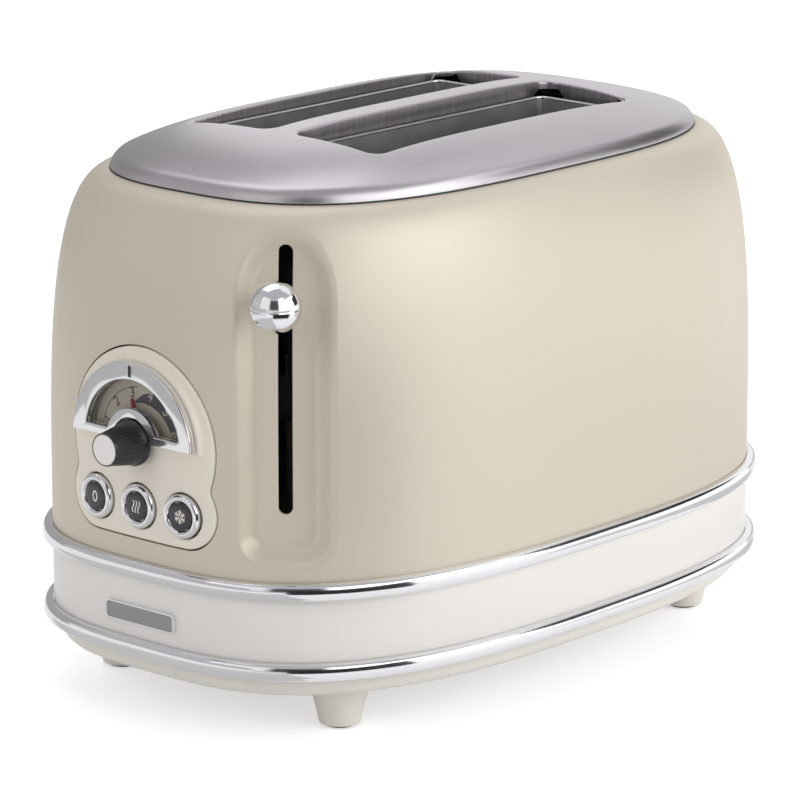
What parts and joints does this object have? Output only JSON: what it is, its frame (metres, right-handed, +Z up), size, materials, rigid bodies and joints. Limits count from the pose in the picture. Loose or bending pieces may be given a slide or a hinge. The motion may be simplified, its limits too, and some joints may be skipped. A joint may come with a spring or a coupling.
{
  "type": "two-slice toaster",
  "caption": "Rounded bread toaster with an enamelled body, domed steel top, corner lever, browning dial, push buttons and a crumb tray that pulls out at the rear.",
  "frame": {"origin": "centre of the overall box at the level of the foot pads' undersides", "axes": "+X along the length toward the rear, the control end faces -X; +Y to the far long side; +Z up"},
  "size_m": [0.304, 0.19, 0.2025],
  "materials": {
    "enamel": "glossy cream beige enamel",
    "panel_cream": "satin cream plastic",
    "band_white": "satin off-white plastic",
    "pan_cream": "fine matt cream plastic",
    "brushed_steel": "brushed along its length",
    "chrome": "mirror plated",
    "satin_metal": "satin",
    "galvanised": "dull zinc plated sheet",
    "black_plastic": "satin black",
    "dark_grey": "gloss dark grey",
    "dial_face": "printed scale",
    "clear": "clear plastic lens",
    "red": "red pointer",
    "rubber": "matt rubber",
    "mica": "mica card",
    "board": "printed circuit board",
    "copper_red": "wound coil"
  },
  "bodies": {
    "housing": {"body_shell": "enamel", "top_plate": "brushed_steel", "base_band": "band_white", "upper_bead": "chrome", "lower_bead": "chrome", "base_pan": "pan_cream", "cord_gland": "black_plastic", "badge_plate": "chrome", "panel_plate": "panel_cream", "dial_bezel": "chrome", "dial_window": "clear", "dial_plate": "dial_face", "control_board": "board", "browning_pot": "black_plastic", "hold_magnet": "copper_red", "guide_rod": "satin_metal", "chassis_top": "galvanised", "end_plate_front": "galvanised", "end_plate_rear": "galvanised", "element_centre": "mica", "foot_front_near": "pan_cream", "foot_pad_front_near": "rubber", "foot_front_far": "pan_cream", "foot_pad_front_far": "rubber", "foot_rear_near": "pan_cream", "foot_pad_rear_near": "rubber", "foot_rear_far": "pan_cream", "foot_pad_rear_far": "rubber", "stop_switch": "black_plastic", "reheat_switch": "black_plastic", "defrost_switch": "black_plastic", "reflector_near": "galvanised", "element_near": "mica", "reflector_far": "galvanised", "element_far": "mica"},
    "carriage": {"lever_ball": "chrome", "lever_arm": "satin_metal", "lift_carriage": "galvanised", "latch_keeper": "galvanised", "return_spring": "satin_metal", "lifter_near": "satin_metal", "lifter_far": "satin_metal"},
    "knob": {"dial_knob": "black_plastic", "knob_cap": "satin_metal", "dial_shaft": "satin_metal", "dial_pointer": "red"},
    "stop_key": {"stop_button": "chrome", "stop_insert": "dark_grey"},
    "reheat_key": {"reheat_button": "chrome", "reheat_insert": "dark_grey"},
    "defrost_key": {"defrost_button": "chrome", "defrost_insert": "dark_grey"},
    "guide_near_in": {"guide_near_inner": "satin_metal"},
    "guide_near_out": {"guide_near_outer": "satin_metal"},
    "guide_far_in": {"guide_far_inner": "satin_metal"},
    "guide_far_out": {"guide_far_outer": "satin_metal"},
    "tray": {"crumb_tray": "galvanised", "tray_door": "band_white"}
  },
  "joints": [
    {"name": "lever_slide", "type": "slide", "parent": "housing", "child": "carriage", "axis": [0, 0, 1], "range_m": [-0.0671, 0.0135], "stiffness_N_per_m": 130, "springref_m": 0.0085, "deforming": ["return_spring"]},
    {"name": "knob_turn", "type": "hinge", "parent": "housing", "child": "knob", "pos_m": [-0.13805, 0, 0.1024], "axis": [1, 0, 0], "range_deg": [-60, 90]},
    {"name": "stop_press", "type": "slide", "parent": "housing", "child": "stop_key", "axis": [1, 0, 0], "range_m": [0, 0.0012], "stiffness_N_per_m": 900},
    {"name": "reheat_press", "type": "slide", "parent": "housing", "child": "reheat_key", "axis": [1, 0, 0], "range_m": [0, 0.0012], "stiffness_N_per_m": 900},
    {"name": "defrost_press", "type": "slide", "parent": "housing", "child": "defrost_key", "axis": [1, 0, 0], "range_m": [0, 0.0012], "stiffness_N_per_m": 900},
    {"name": "guide_near_in_slide", "type": "slide", "parent": "housing", "child": "guide_near_in", "axis": [0, 1, 0], "range_m": [-0.00403, 0.00081]},
    {"name": "guide_near_out_slide", "type": "slide", "parent": "housing", "child": "guide_near_out", "axis": [0, 1, 0], "range_m": [-0.00081, 0.00403]},
    {"name": "guide_far_in_slide", "type": "slide", "parent": "housing", "child": "guide_far_in", "axis": [0, 1, 0], "range_m": [-0.00081, 0.00403]},
    {"name": "guide_far_out_slide", "type": "slide", "parent": "housing", "child": "guide_far_out", "axis": [0, 1, 0], "range_m": [-0.00403, 0.00081]},
    {"name": "tray_slide", "type": "slide", "parent": "housing", "child": "tray", "axis": [1, 0, 0], "range_m": [0, 0.21]}
  ],
  "couplings": [
    {"joint": "guide_near_in_slide", "follows": "lever_slide", "ratio": 0.06},
    {"joint": "guide_near_out_slide", "follows": "lever_slide", "ratio": -0.06},
    {"joint": "guide_far_in_slide", "follows": "lever_slide", "ratio": -0.06},
    {"joint": "guide_far_out_slide", "follows": "lever_slide", "ratio": 0.06}
  ]
}
